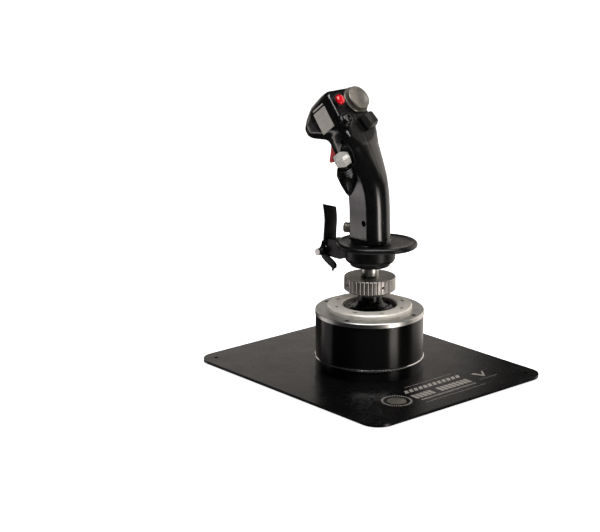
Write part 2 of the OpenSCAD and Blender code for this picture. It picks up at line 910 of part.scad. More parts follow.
module thumb_cap() {
    sides = 8;
    color([0.62, 0.6, 0.57])
        at_thumb()
            difference() {
                union() {
                    translate([0, 0, thumb_pivot - hat_pivot]) hat_fork(3.4);
                    translate([0, 0, -4.2]) cylinder(r1 = thumb_r - 1, r2 = thumb_r, h = 2.2, $fn = sides);
                    translate([0, 0, -2.05]) cylinder(r = thumb_r, h = 4, $fn = sides);
                    translate([0, 0, 1.9]) cylinder(r1 = thumb_r, r2 = thumb_r - 4, h = 3.2, $fn = sides);
                }
                translate([0, 0, 26.6]) sphere(r = 22, $fn = medium);
            }
}

module side_button() {
    color([0.62, 0.6, 0.58])
        at_side_button()
            rotate_extrude($fn = medium)
                polygon([[0, -0.5], [side_r, -0.5], [side_r, 7.2], [side_r - 0.8, 8.2], [0, 8.4]]);
}

// ---------- trigger and paddle ----------

module trigger_pin() {
    color("silver")
        translate([trigger_x, trigger_pivot[0], trigger_pivot[1]]) along_x() rod(1.5, -7.5, 15);
}

module trigger() {
    half = 4;
    color([0.7, 0.06, 0.06])
        translate([trigger_x, 0, 0])
            difference() {
                union() {
                    translate([0, trigger_pivot[0], trigger_pivot[1]]) along_x() rod(3.4, -half, 2 * half, medium);
                    rotate([0, -90, 0])
                        translate([0, 0, -half])
                            linear_extrude(2 * half)
                                polygon([
                                    [246.5, 46], [240, 44.6], [232, 45.6], [225, 48], [219, 50], [213.6, 52.2],
                                    [214, 54.6], [219, 53.9], [225, 52.6], [232, 51.8], [240, 51.8], [246.5, 49.6]
                                ]);
                }
                translate([0, trigger_pivot[0], trigger_pivot[1]])
                    along_x() rod(1.5 + running_gap, -10, 20);
            }
}

module paddle_bracket() {
    color([0.05, 0.05, 0.05])
        difference() {
            across(bracket_left, bracket_right)
                polygon([
                            [20, 117.5], [20, rest_z], [50, rest_z], [53.4, 131], [54.2, 125], [57.6, 122.4],
                            [60.6, 122.4], [63.4, 119], [62.6, 116], [60, 114.6], [34, 114.8], [30, 117.5]
                        ]);
            rod(collar_r, collar_z - 10, 40, fine);
            translate([0, paddle_pivot[0], paddle_pivot[1]]) along_x() rod(1.8, -30, 60);
        }
}

module paddle_pin() {
    color([0.35, 0.35, 0.35])
        translate([0, paddle_pivot[0], paddle_pivot[1]])
            along_x()
                union() {
                    rod(1.8, -16, 21.4);
                    rod(3.8, -20, 5.3);
                }
}

// Blade in front of the grip, with an ear on each side of the bracket and an arm to the rear
module paddle_lever() {
    ear_t = 2.6;
    gap = 0.3;
    blade_left = -13;
    blade_right = 3.5;
    ear_left = bracket_left - gap - ear_t;
    ear_right = bracket_right + gap + ear_t;
    color([0.05, 0.05, 0.05])
        difference() {
            union() {
                across(blade_left, blade_right)
                    polygon([
                        [55.6, 129], [55.4, 140], [54.4, 150], [54.8, 158], [57.2, 171], [59.8, 170.4],
                        [57.2, 158], [56.8, 150], [57.8, 141], [58.8, 129]
                    ]);
                across(ear_left, ear_right) polygon([[55.2, 126.4], [55.2, 131], [59, 131], [59.8, 124], [58.2, 123.6]]);
                for (x = [ear_left, bracket_right + gap])
                    across(x, x + ear_t)
                        union() {
                            translate([paddle_pivot[0], paddle_pivot[1]]) circle(5, $fn = medium);
                            polygon([[55.2, 120], [60, 114.6], [63, 119], [60.2, 125], [59, 131], [55.2, 131]]);
                        }
                across(ear_left, ear_left + ear_t)
                    polygon([[62, 113], [42, 102.8], [37.6, 104.6], [37.4, 109.4], [43, 112.8], [56, 118]]);
                translate([ear_left + ear_t / 2, 42.6, 101]) cylinder(r = 1.2, h = 6, $fn = small);
            }
            translate([0, paddle_pivot[0], paddle_pivot[1]])
                along_x() rod(1.8 + running_gap, -30, 60);
            // the blade's top slopes down to the right
            translate([blade_left, 50, 169.8]) rotate([0, 17.4, 0]) translate([-10, 0, 0]) cube([40, 20, 10]);
        }
}

// ---------- what is drawn ----------

base_plate();
rubber_feet();
plate_screws();
lower_casting();
band_ring();
drum_tube();
top_flange();
flange_screws();
clamp_ring();
clamp_ring_screws();
cable_gland();
gimbal_frame();
pitch_bearings();
spring_seat();
sensor_board();
boot_outer();
gimbal_ring();
pitch_pins();
roll_bearings();
stick_hub();
roll_pins();
shaft();
spring_cap();
centring_spring();
sensor_magnet();
boot_inner();
boot_clamp();
connector_socket();
threaded_collar();
grip_collar();
palm_rest();
grip_left_shell();
grip_right_shell();
grip_screws();
head_plate();
hat_bases();
trim_surround();
push_collar();
thumb_housing();
paddle_bracket();
paddle_pin();
trigger_pin();
nut_bush();
ring_nut();
trim_cross();
trim_cap();
left_hat_cross();
left_hat_cap();
right_hat_cross();
right_hat_cap();
thumb_plunger();
thumb_cross();
thumb_cap();
red_button();
side_button();
trigger();
paddle_lever();
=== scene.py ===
"""Flight joystick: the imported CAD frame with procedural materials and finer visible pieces.

The scene is in metres, in the frame's own axes: X to the pilot's right, Y forward, Z up.
Shapes are worked out in millimetres and scaled by MM when they become meshes.
"""
import json
import math

import bmesh
import bpy
import numpy as np
from mathutils import Matrix, Vector


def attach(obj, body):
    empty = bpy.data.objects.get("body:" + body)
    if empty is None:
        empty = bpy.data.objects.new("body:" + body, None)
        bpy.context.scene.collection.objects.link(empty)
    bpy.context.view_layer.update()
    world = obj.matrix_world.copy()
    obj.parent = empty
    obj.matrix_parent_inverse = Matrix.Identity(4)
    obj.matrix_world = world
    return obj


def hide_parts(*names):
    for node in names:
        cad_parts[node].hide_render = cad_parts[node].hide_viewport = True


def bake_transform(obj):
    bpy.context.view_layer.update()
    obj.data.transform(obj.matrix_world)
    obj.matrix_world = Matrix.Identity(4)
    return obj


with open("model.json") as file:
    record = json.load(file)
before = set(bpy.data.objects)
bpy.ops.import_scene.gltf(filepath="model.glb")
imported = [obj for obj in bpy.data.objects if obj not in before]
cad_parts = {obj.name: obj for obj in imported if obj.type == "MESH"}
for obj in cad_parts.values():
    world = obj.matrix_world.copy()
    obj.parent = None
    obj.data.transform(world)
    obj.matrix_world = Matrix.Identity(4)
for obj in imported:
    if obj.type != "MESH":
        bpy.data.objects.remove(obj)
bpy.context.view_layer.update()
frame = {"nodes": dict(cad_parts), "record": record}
NODES = frame["nodes"]
MM = 0.001
CAMERA_AZIMUTH = -40.91
CAMERA_ELEVATION = 15.6
for imported in list(bpy.data.materials):
    bpy.data.materials.remove(imported)


# ---------------------------------------------------------------- camera, floor and light

def make_camera():
    """The camera that stands behind the object and to its left, and looks slightly down."""
    azimuth, elevation = math.radians(CAMERA_AZIMUTH), math.radians(CAMERA_ELEVATION)
    distance, side_shift, height = 1.85571, -0.07215, 0.1126
    right = Vector((math.cos(azimuth), math.sin(azimuth), 0))
    back = Vector((
        math.sin(azimuth) * math.cos(elevation),
        -math.cos(azimuth) * math.cos(elevation),
        math.sin(elevation),
    ))
    up = back.cross(right)
    camera = bpy.data.objects.new("camera", bpy.data.cameras.new("camera"))
    bpy.context.scene.collection.objects.link(camera)
    turn = Matrix((right, up, back)).transposed().to_4x4()
    place = right * side_shift + Vector((0, 0, height)) + back * distance
    camera.matrix_world = Matrix.Translation(place) @ turn
    camera.data.sensor_width = 36
    camera.data.lens = 108.11
    camera.data.clip_start, camera.data.clip_end = 0.01, 100
    bpy.context.scene.camera = camera


def make_floor():
    """A wide pale floor. It doesn't show in the object's gloss, as a dark studio's floor wouldn't."""
    half = 40
    mesh = bpy.data.meshes.new("floor")
    corners = [(-half, -half, 0), (half, -half, 0), (half, half, 0), (-half, half, 0)]
    mesh.from_pydata(corners, [], [(0, 1, 2, 3)])
    floor = bpy.data.objects.new("floor", mesh)
    bpy.context.scene.collection.objects.link(floor)
    floor.visible_glossy = False
    floor.visible_shadow = False
    pale = bpy.data.materials.new("floor_pale")
    pale.use_nodes = True
    shader = pale.node_tree.nodes["Principled BSDF"]
    shader.inputs["Base Color"].default_value = (0.86, 0.86, 0.86, 1)
    shader.inputs["Roughness"].default_value = 0.9
    shader.inputs["Specular IOR Level"].default_value = 0.0
    shader.inputs["Emission Color"].default_value = (1, 1, 1, 1)
    shader.inputs["Emission Strength"].default_value = 0.97
    mesh.materials.append(pale)


def make_world():
    """White where the camera looks past the floor, and dim for all other light."""
    world = bpy.data.worlds.new("studio")
    bpy.context.scene.world = world
    world.use_nodes = True
    tree = world.node_tree
    tree.nodes.clear()
    path = tree.nodes.new("ShaderNodeLightPath")
    dim = tree.nodes.new("ShaderNodeBackground")
    dim.inputs["Color"].default_value = (0.9, 0.95, 1.0, 1)
    dim.inputs["Strength"].default_value = 0.012
    white = tree.nodes.new("ShaderNodeBackground")
    white.inputs["Strength"].default_value = 1.0
    mix = tree.nodes.new("ShaderNodeMixShader")
    out = tree.nodes.new("ShaderNodeOutputWorld")
    tree.links.new(path.outputs["Is Camera Ray"], mix.inputs[0])
    tree.links.new(dim.outputs[0], mix.inputs[1])
    tree.links.new(white.outputs[0], mix.inputs[2])
    tree.links.new(mix.outputs[0], out.inputs["Surface"])


def softbox(name, bearing, distance, height, size, power, colour=(1, 1, 1), aim=(0, 0, 0.15)):
    """A rectangular lamp. Its bearing is counted from the camera, to the right as the camera sees it."""
    angle = math.radians(CAMERA_AZIMUTH - 90 + bearing)
    place = Vector((math.cos(angle) * distance, math.sin(angle) * distance, height))
    lamp = bpy.data.lights.new(name, "AREA")
    lamp.shape = "RECTANGLE"
    lamp.size, lamp.size_y = size
    lamp.energy = power
    lamp.color = colour
    body = bpy.data.objects.new(name, lamp)
    bpy.context.scene.collection.objects.link(body)
    body.location = place
    body.rotation_euler = (place - Vector(aim)).to_track_quat("Z", "Y").to_euler()
    body.visible_camera = False


def make_lights():
    """Low cards, which upright faces mirror as the camera looks down, and high ones for sloped faces."""
    warm = (1.0, 0.93, 0.87)
    softbox("key_right", 50, 2.0, -0.40, (0.6, 0.95), 14, warm, (0, 0, -0.3))
    softbox("fill_left", -98, 0.72, -0.075, (0.34, 0.12), 0.27, (1.0, 0.92, 0.93), (0, 0, 0))
    softbox("fill_low", -118, 2.0, -0.4, (0.16, 0.8), 1.2, warm, (0, 0, -0.3))
    softbox("edge_high", 126, 1.5, 0.75, (1.9, 1.0), 7.5, warm)
    softbox("edge_low", 130, 1.5, -0.22, (1.9, 0.9), 6.0, warm, (0, 0, 0))
    softbox("back_wall", 200, 1.0, 0.24, (1.2, 0.36), 1.05, warm, (0, 0, 0.05))
    softbox("top", 10, 0.45, 1.7, (1.4, 1.1), 30)


make_camera()
make_floor()
make_world()
make_lights()
bpy.context.scene.view_settings.view_transform = "Standard"


# ---------------------------------------------------------------- materials

class Recipe:
    """One node material, built up a feature at a time in object coordinates, which are metres."""

    def __init__(self, name, colour, rough, metallic=0.0, specular=0.5, coat=0.0, coat_rough=0.1):
        self.material = bpy.data.materials.new(name)
        self.material.use_nodes = True
        self.tree = self.material.node_tree
        self.shader = self.tree.nodes["Principled BSDF"]
        self.colour = colour
        self.set("Metallic", metallic)
        self.set("Specular IOR Level", specular)
        self.set("Coat Weight", coat)
        self.set("Coat Roughness", coat_rough)
        self.set("Roughness", rough)
        self.set("Base Color", (*colour, 1))
        self.where = self.tree.nodes.new("ShaderNodeTexCoord").outputs["Object"]

    def set(self, socket, value):
        self.shader.inputs[socket].default_value = value

    def node(self, kind, **settings):
        made = self.tree.nodes.new(kind)
        for key, value in settings.items():
            setattr(made, key, value)
        return made

    def link(self, a, b):
        self.tree.links.new(a, b)

    def noise(self, size_mm, detail=3.0, source=None):
        """Noise whose features are about size_mm across, over source or else over the object."""
        scale = self.node("ShaderNodeVectorMath", operation="MULTIPLY")
        self.link(source or self.where, scale.inputs[0])
        scale.inputs[1].default_value = [1 / (size_mm * MM)] * 3
        made = self.node("ShaderNodeTexNoise")
        made.inputs["Scale"].default_value = 1.0
        made.inputs["Detail"].default_value = detail
        self.link(scale.outputs[0], made.inputs["Vector"])
        return made.outputs["Fac"]

    def radius(self):
        """Distance from the vertical axis and height, as a vector, so that noise on it makes turned rings."""
        flat = self.node("ShaderNodeVectorMath", operation="MULTIPLY")
        self.link(self.where, flat.inputs[0])
        flat.inputs[1].default_value = (1, 1, 0)
        length = self.node("ShaderNodeVectorMath", operation="LENGTH")
        self.link(flat.outputs[0], length.inputs[0])
        parts = self.node("ShaderNodeSeparateXYZ")
        self.link(self.where, parts.inputs[0])
        join = self.node("ShaderNodeCombineXYZ")
        self.link(length.outputs["Value"], join.inputs["X"])
        self.link(parts.outputs["Z"], join.inputs["Y"])
        return join.outputs[0]

    def span(self, value, low, high, start=0.3, end=0.7):
        """Maps a noise value onto a range of numbers."""
        made = self.node("ShaderNodeMapRange")
        made.inputs["From Min"].default_value = start
        made.inputs["From Max"].default_value = end
        made.inputs["To Min"].default_value = low
        made.inputs["To Max"].default_value = high
        self.link(value, made.inputs["Value"])
        return made.outputs["Result"]

    def tint(self, value, second):
        """Mixes a second colour in where the noise is high."""
        mix = self.node("ShaderNodeMix", data_type="RGBA")
        self.link(self.span(value, 0, 1, 0.35, 0.65), mix.inputs["Factor"])
        mix.inputs["A"].default_value = (*self.colour, 1)
        mix.inputs["B"].default_value = (*second, 1)
        self.link(mix.outputs["Result"], self.shader.inputs["Base Color"])

    def polish(self, value, low, high):
        """Varies the roughness."""
        self.link(self.span(value, low, high), self.shader.inputs["Roughness"])

    def bump(self, value, depth_mm):
        """Adds a bump of about depth_mm."""
        made = self.node("ShaderNodeBump")
        made.inputs["Strength"].default_value = 1.0
        made.inputs["Distance"].default_value = depth_mm * MM
        self.link(value, made.inputs["Height"])
        self.link(made.outputs[0], self.shader.inputs["Normal"])


def moulded(name, colour, rough, **more):
    """A plain moulded or painted finish: slight mottling, uneven gloss and a fine grain."""
    spread = 0.06
    r = Recipe(name, colour, rough, **more)
    r.tint(r.noise(9), [c * 1.35 for c in colour])
    r.polish(r.noise(5, 5), rough - spread, rough + spread)
    r.bump(r.noise(0.45, 2), 0.01)
    return r


def turned(name, colour, rough):
    """Metal turned on a lathe about the vertical axis, with fine rings."""
    ring, depth = 0.25, 0.006
    r = Recipe(name, colour, rough, metallic=1.0)
    lines = r.noise(ring, 4, source=r.radius())
    r.tint(r.noise(14), [c * 0.82 for c in colour])
    r.polish(lines, rough - 0.07, rough + 0.09)
    r.bump(lines, depth)
    return r


def make_materials():
    """One material for each slot of the record, by the slot's name."""
    made = {}

    def keep(r):
        made[r.material.name] = r.material

    plate = Recipe("plate_black", (0.0025, 0.0025, 0.0025), 0.27, specular=0.26)
    plate.tint(plate.noise(60, 4), (0.0035, 0.0033, 0.0033))
    plate.polish(plate.noise(18, 4), 0.24, 0.30)
    plate.bump(plate.noise(0.9, 2), 0.006)
    keep(plate)

    rubber = Recipe("rubber", (0.0012, 0.0012, 0.0013), 0.24, specular=0.2)
    rubber.polish(rubber.noise(2.5, 4), 0.2, 0.28)
    rubber.bump(rubber.noise(6, 2), 0.02)
    keep(rubber)

    drum = Recipe("drum_black", (0.0008, 0.0008, 0.0008), 0.31, specular=0.34)
    drum.polish(drum.noise(0.5, 4, source=drum.radius()), 0.29, 0.33)
    drum.bump(drum.noise(40, 2), 0.02)
    drum.set("Anisotropic", 0.92)
    drum.set("Anisotropic Rotation", 0.25)
    tangent = drum.node("ShaderNodeTangent", direction_type="RADIAL", axis="Z")
    drum.link(tangent.outputs[0], drum.shader.inputs["Tangent"])
    keep(drum)

    keep(turned("bright_steel", (0.86, 0.84, 0.81), 0.16))
    keep(turned("flange_grey", (0.62, 0.62, 0.595), 0.33))

    pale = Recipe("clamp_satin", (0.80, 0.765, 0.70), 0.44, metallic=0.45)
    pale.tint(pale.noise(7), (0.70, 0.665, 0.60))
    pale.polish(pale.noise(1.2, 4), 0.42, 0.56)
    pale.bump(pale.noise(0.22, 2), 0.02)
    keep(pale)

    keep(turned("nut_steel", (0.5, 0.48, 0.455), 0.46))
    keep(turned("shaft_steel", (0.66, 0.65, 0.62), 0.36))
    keep(moulded("screw_black", (0.02, 0.02, 0.02), 0.35, metallic=0.5))
    keep(turned("screw_steel", (0.52, 0.52, 0.51), 0.3))

    cast = Recipe("gimbal_cast", (0.42, 0.42, 0.43), 0.5, metallic=1.0)
    cast.polish(cast.noise(2.5, 4), 0.42, 0.62)
    cast.bump(cast.noise(0.8, 4), 0.06)
    keep(cast)

    keep(turned("bronze", (0.62, 0.44, 0.20), 0.32))
    keep(moulded("board_green", (0.01, 0.11, 0.04), 0.35))
    keep(moulded("magnet", (0.6, 0.6, 0.62), 0.25, metallic=1.0))
    keep(moulded("spring_steel", (0.5, 0.5, 0.5), 0.28, metallic=1.0))
    keep(moulded("plastic_black", (0.003, 0.003, 0.003), 0.33, specular=0.36))

    grip = Recipe("grip_black", (0.0022, 0.0021, 0.0021), 0.2, specular=0.72)
    grip.tint(grip.noise(14), (0.003, 0.0029, 0.0029))
    grip.polish(grip.noise(5, 4), 0.18, 0.23)
    grip.bump(grip.noise(0.8, 2), 0.0025)
    keep(grip)

    arm = Recipe("frame_black", (0.0018, 0.0017, 0.0017), 0.36, specular=0.2)
    arm.tint(arm.noise(10), (0.005, 0.0047, 0.0047))
    arm.polish(arm.noise(3, 4), 0.32, 0.4)
    arm.bump(arm.noise(0.7, 2), 0.006)
    keep(arm)

    cap = Recipe("hat_black", (0.011, 0.0107, 0.01), 0.36, specular=0.3)
    cap.tint(cap.noise(2.5, 4), (0.018, 0.0173, 0.016))
    cap.polish(cap.noise(1.5, 4), 0.3, 0.42)
    cap.bump(cap.noise(0.5, 2), 0.012)
    keep(cap)

    head = Recipe("head_satin", (0.56, 0.52, 0.48), 0.38, metallic=0.55)
    head.tint(head.noise(5), (0.49, 0.455, 0.42))
    head.polish(head.noise(0.8, 4), 0.33, 0.45)
    head.bump(head.noise(0.3, 2), 0.012)
    keep(head)

    hat = Recipe("hat_grey", (0.25, 0.235, 0.205), 0.4, metallic=0.75)
    hat.tint(hat.noise(3, 5), (0.2, 0.186, 0.16))
    hat.polish(hat.noise(1.5, 4), 0.34, 0.46)
    hat.bump(hat.noise(0.35, 3), 0.02)
    keep(hat)

    red = Recipe("red_gloss", (0.62, 0.004, 0.012), 0.22, specular=0.5, coat=0.6, coat_rough=0.05)
    red.tint(red.noise(4), (0.5, 0.003, 0.009))
    red.bump(red.noise(2.5, 2), 0.01)
    keep(red)

    trigger = Recipe("trigger_red", (0.48, 0.025, 0.02), 0.35, specular=0.5)
    trigger.tint(trigger.noise(3, 4), (0.36, 0.014, 0.012))
    trigger.polish(trigger.noise(1.2, 4), 0.28, 0.42)
    trigger.bump(trigger.noise(0.5, 2), 0.012)
    keep(trigger)

    silver = Recipe("button_silver", (0.6, 0.585, 0.56), 0.46, metallic=0.45)
    silver.tint(silver.noise(2.2, 5), (0.44, 0.42, 0.39))
    silver.polish(silver.noise(0.9, 4), 0.38, 0.56)
    silver.bump(silver.noise(0.5, 3), 0.05)
    keep(silver)
    return made


MATERIALS = make_materials()
SLOT_OF = {row["node"]: row["material_slot"] for row in frame["record"]["subparts"]}
for node_name, node_object in NODES.items():
    node_object.data.materials.clear()
    node_object.data.materials.append(MATERIALS[SLOT_OF[node_name]])


# ---------------------------------------------------------------- mesh helpers

def smooth_shade(mesh, angle=32):
    """Smooth shading with sharp edges kept where faces meet at more than angle degrees."""
    mesh.shade_smooth()
    mesh.set_sharp_from_angle(angle=math.radians(angle))


def piece(name, mesh, body, slot, replaced=(), angle=32):
    """Puts a finished mesh, in metres, on a body, with its slot's material."""
    smooth_shade(mesh, angle)
    mesh.materials.append(MATERIALS[slot])
    made = bpy.data.objects.new(name, mesh)
    bpy.context.scene.collection.objects.link(made)
    if body:
        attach(made, body)
    if replaced:
        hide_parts(*replaced)
    return made


def mesh_of(name, vertices_mm, faces):
    """A mesh from vertices in mm and faces that index them."""
    mesh = bpy.data.meshes.new(name)
    mesh.from_pydata((np.asarray(vertices_mm) * MM).tolist(), [], [list(map(int, f)) for f in faces])
    mesh.validate()
    return mesh


def smooth_max(a, b, k):
    """The larger of a and b, blended where they differ by less than k."""
    h = np.clip(0.5 + 0.5 * (a - b) / k, 0, 1)
    return b + (a - b) * h + k * h * (1 - h)


def smooth_min(a, b, k):
    """The smaller of a and b, blended where they differ by less than k."""
    return -smooth_max(-a, -b, k)


def surface_net(field, low, high, step):
    """The zero level of field, which is negative inside, as a mesh of quads. All in mm.

    The mesh is closed where the surface stays between low and high, and open where it passes them.
    Each grid cell that the surface crosses gets one point, at the middle of its edges' crossings. The
    points of the four cells round each crossed edge make a quad. The points are then moved onto the
    surface along the field's slope.
    """
    axes = [np.arange(a, b + step, step) for a, b in zip(low, high)]
    value = field(*np.meshgrid(*axes, indexing="ij"))
    inside = value < 0
    cells_shape = tuple(n - 1 for n in value.shape)
    corners = [(i, j, k) for i in (0, 1) for j in (0, 1) for k in (0, 1)]
    count = sum(
        inside[i:i + cells_shape[0], j:j + cells_shape[1], k:k + cells_shape[2]].astype(np.int8)
        for i, j, k in corners
    )
    mixed = (count > 0) & (count < 8)
    cells = np.argwhere(mixed)
    index = np.full(cells_shape, -1)
    index[mixed] = np.arange(len(cells))
    total = np.zeros((len(cells), 3))
    hits = np.zeros(len(cells))
    for a in corners:
        for axis in range(3):
            if a[axis]:
                continue
            b = list(a)
            b[axis] = 1
            va = value[tuple((cells + a).T)]
            vb = value[tuple((cells + b).T)]
            cross = (va < 0) != (vb < 0)
            share = (va / np.where(cross, va - vb, 1))[:, None]
            point = cells + a + share * (np.array(b) - a)
            total[cross] += point[cross]
            hits[cross] += 1
    points = np.array(low) + step * total / hits[:, None]
    quads = []
    for axis in range(3):
        u, v = (axis + 1) % 3, (axis + 2) % 3
        first = np.take(inside, range(value.shape[axis] - 1), axis)
        second = np.take(inside, range(1, value.shape[axis]), axis)
        at = np.argwhere(first != second)
        at = at[(at[:, u] > 0) & (at[:, v] > 0) & (at[:, u] < cells_shape[u]) & (at[:, v] < cells_shape[v])]
        outward = first[tuple(at.T)]
        du, dv = np.eye(3, dtype=int)[u], np.eye(3, dtype=int)[v]
        ring = [index[tuple((at - s).T)] for s in (0 * du, du, du + dv, dv)]
        quad = np.stack(ring, 1)
        quad[~outward] = quad[~outward][:, ::-1]
        quads.append(quad)
    probe, least_slope = 0.02, 0.05
    for _ in range(3):
        here = field(*points.T)
        slope = np.stack([
            (field(*(points + d).T) - field(*(points - d).T)) / (2 * probe) for d in np.eye(3) * probe
        ], 1)
        size = np.maximum((slope ** 2).sum(1), least_slope)
        move = -(here / size)[:, None] * slope
        length = np.linalg.norm(move, axis=1, keepdims=True)
        points += move * np.minimum(1, 0.5 * step / np.maximum(length, 1e-9))
    return points, np.concatenate(quads)


def lathe(profile, count=96, wave=None, at=None):
    """A closed turned solid from (radius, height) points that start and end on the axis.

    wave(radius, height, angle) can move each point, and at maps local mm to the frame's mm.
    """
    points, faces = [], []
    rings = []
    for r, z in profile:
        if r == 0:
            rings.append([len(points)])
            points.append((0, 0, z))
            continue
        rings.append(list(range(len(points), len(points) + count)))
        for i in range(count):
            a = 2 * math.pi * i / count
            rr, zz = (r, z) if wave is None else wave(r, z, a)
            points.append((rr * math.cos(a), rr * math.sin(a), zz))
    for lower, upper in zip(rings, rings[1:]):
        for i in range(count):
            j = (i + 1) % count
            if len(lower) == 1:
                faces.append((lower[0], upper[j], upper[i]))
            elif len(upper) == 1:
                faces.append((lower[i], lower[j], upper[0]))
            else:
                faces.append((lower[i], lower[j], upper[j], upper[i]))
    points = np.array(points, float)
    return (points if at is None else at(points)), faces


def ring_lathe(profile, count=128, wave=None):
    """A turned solid with a hole: the (radius, height) points make a closed loop."""
    points, faces = [], []
    n = len(profile)
    for i in range(count):
        a = 2 * math.pi * i / count
        for r, z in profile:
            rr, zz = (r, z) if wave is None else wave(r, z, a)
            points.append((rr * math.cos(a), rr * math.sin(a), zz))
    for i in range(count):
        j = (i + 1) % count
        for k in range(n):
            m = (k + 1) % n
            faces.append((i * n + k, i * n + m, j * n + m, j * n + k))
    return np.array(points, float), faces


def mesh_from(b, name):
    """The mesh of a bmesh, which ends here."""
    mesh = bpy.data.meshes.new(name)
    b.to_mesh(mesh)
    b.free()
    return mesh


def fix_normals(mesh):
    """Turns all faces outwards."""
    b = bmesh.new()
    b.from_mesh(mesh)
    bmesh.ops.recalc_face_normals(b, faces=b.faces)
    b.to_mesh(mesh)
    b.free()
    return mesh


def rounded_path(points, passes=2):
    """A closed outline with its corners cut, more with each pass."""
    near, far = 0.78, 0.22
    p = np.array(points, float)
    for _ in range(passes):
        following = np.roll(p, -1, 0)
        p = np.stack([near * p + far * following, far * p + near * following], 1).reshape(-1, 2)
    return p


def slab(name, outline, x0, x1, bevel):
    """An outline in y and z, from x0 to x1, with rounded edges. All in mm."""
    b = bmesh.new()
    verts = [b.verts.new((x0 * MM, y * MM, z * MM)) for y, z in outline]
    face = b.faces.new(verts)
    pulled = bmesh.ops.extrude_face_region(b, geom=[face])["geom"]
    bmesh.ops.translate(
        b, vec=((x1 - x0) * MM, 0, 0), verts=[v for v in pulled if isinstance(v, bmesh.types.BMVert)]
    )
    bmesh.ops.recalc_face_normals(b, faces=b.faces)
    ends = [e for e in b.edges if abs(e.verts[0].co.x - e.verts[1].co.x) < 1e-7]
    bmesh.ops.bevel(
        b, geom=ends, offset=bevel * MM, segments=3, profile=0.5, affect="EDGES", clamp_overlap=True
    )
    return mesh_from(b, name)


def cut(obj, cutters):
    """Takes the cutters, closed meshes, out of obj's mesh."""
    for cutter in cutters:
        tool = bpy.data.objects.new("cutter", cutter)
        bpy.context.scene.collection.objects.link(tool)
        modifier = obj.modifiers.new("cut", "BOOLEAN")
        modifier.operation = "DIFFERENCE"
        modifier.solver = "EXACT"
        modifier.object = tool
        done = bpy.data.meshes.new_from_object(obj.evaluated_get(bpy.context.evaluated_depsgraph_get()))
        obj.modifiers.clear()
        obj.data = done
        bpy.data.objects.remove(tool)


# ---------------------------------------------------------------- where things are, in mm

def unit_frame(x_axis, y_axis, origin):
    """A function that maps local mm to the frame's mm, and one that maps back."""
    x, y = np.array(x_axis, float), np.array(y_axis, float)
    turn = np.stack([x, y, np.cross(x, y)])
    origin = np.array(origin, float)
    return (lambda p: np.asarray(p) @ turn + origin), (lambda p: (np.asarray(p) - origin) @ turn.T)


FACE_TILT, FACE_TURN = 52, 4
THUMB_LEAN, THUMB_TURN = 25.6, 193.4


def face_axes():
    """The control face's axes: x to its right and y up its slope."""
    a, g = math.radians(FACE_TILT), math.radians(FACE_TURN)
    x = (math.cos(g), math.sin(g), 0)
    y = (-math.cos(a) * math.sin(g), math.cos(a) * math.cos(g), math.sin(a))
    return x, y


FACE_X, FACE_Y = face_axes()
FACE_POINT = (-4.8, 24.4, 269.8)
to_world, to_face = unit_frame(FACE_X, FACE_Y, FACE_POINT)
TRIM_AT, PUSH_AT = (14, 13), (-9.3, 15.6)
LEFT_HAT_AT, RIGHT_HAT_AT = (-15.4, -7.8), (14.4, -12.7)
HEAD_LEFT, HEAD_RIGHT = -21, 25.2
SIDE_BUTTON_AT, SIDE_BUTTON_FACING = (-8.7, 18.5, 151.2), 120
THUMB_AT = (-30, 10.6, 227)


def on_face(place):
    """The two maps of a local frame that stands on the control face at place."""
    return unit_frame(FACE_X, FACE_Y, to_world([(place[0], place[1], 0)])[0])


def thumb_axes():
    """The thumb hat's axes. The third one, which unit_frame adds, points up and left, out of the grip."""
    a, g = math.radians(THUMB_LEAN), math.radians(THUMB_TURN)
    x = (math.cos(a) * math.cos(g), math.cos(a) * math.sin(g), -math.sin(a))
    y = (-math.sin(g), math.cos(g), 0)
    return x, y


thumb_out, thumb_in = unit_frame(*thumb_axes(), THUMB_AT)


# ---------------------------------------------------------------- grip

GRIP_BASE, STICK_TOP, HEAD_DEPTH = 141, 257, 57
SEAM_X = -2.0
SCOOP_RADIUS, SCOOP_FLOOR = 11.4, -7.2

# Height, centre x and y, reach to the left, right, front and back, depth of the flat
SECTIONS = np.array([
    [141, 0.0, 0.5, 19.9, 18.5, 21.5, 23.0, 16.6],
    [146, 0.0, 0.8, 19.6, 18.2, 20.3, 22.5, 16.5],
    [175, -0.3, 1.5, 19.6, 18.2, 19.9, 22.4, 16.4],
    [190, -0.6, 2.6, 19.6, 18.5, 20.4, 22.4, 16.6],
    [205, -1.4, 4.6, 19.8, 18.4, 22.0, 22.3, 17.6],
    [215, -1.9, 7.4, 20.0, 18.8, 25.0, 22.7, 19.8],
    [222, -2.3, 9.8, 20.5, 19.6, 27.5, 22.9, 22.0],
    [230, -2.7, 12.8, 21.5, 20.9, 32.0, 23.4, 24.0],
    [240, -3.0, 16.2, 22.6, 22.3, 36.0, 23.2, 25.0],
    [250, -3.2, 20.4, 22.6, 23.2, 30.0, 20.8, 25.0],
    [258, -3.3, 25.0, 22.0, 22.4, 26.0, 18.0, 25.0],
])
# Depth behind the control face, then the outline's low and high y, left and right x, and corner radius
STATIONS = np.array([
    [0, -18.5, 27, HEAD_LEFT + 1.5, HEAD_RIGHT - 1.5, 7],
    [3, -21, 29.5, HEAD_LEFT, HEAD_RIGHT, 9],
    [14, -19.5, 31.2, HEAD_LEFT, HEAD_RIGHT, 12],
    [33, -12, 29.3, HEAD_LEFT, HEAD_RIGHT, 12],
    [46, -3.5, 23.8, HEAD_LEFT + 2, HEAD_RIGHT - 4, 10.5],
    [57, 4.5, 16, HEAD_LEFT + 6, HEAD_RIGHT - 9, 4.9],
])


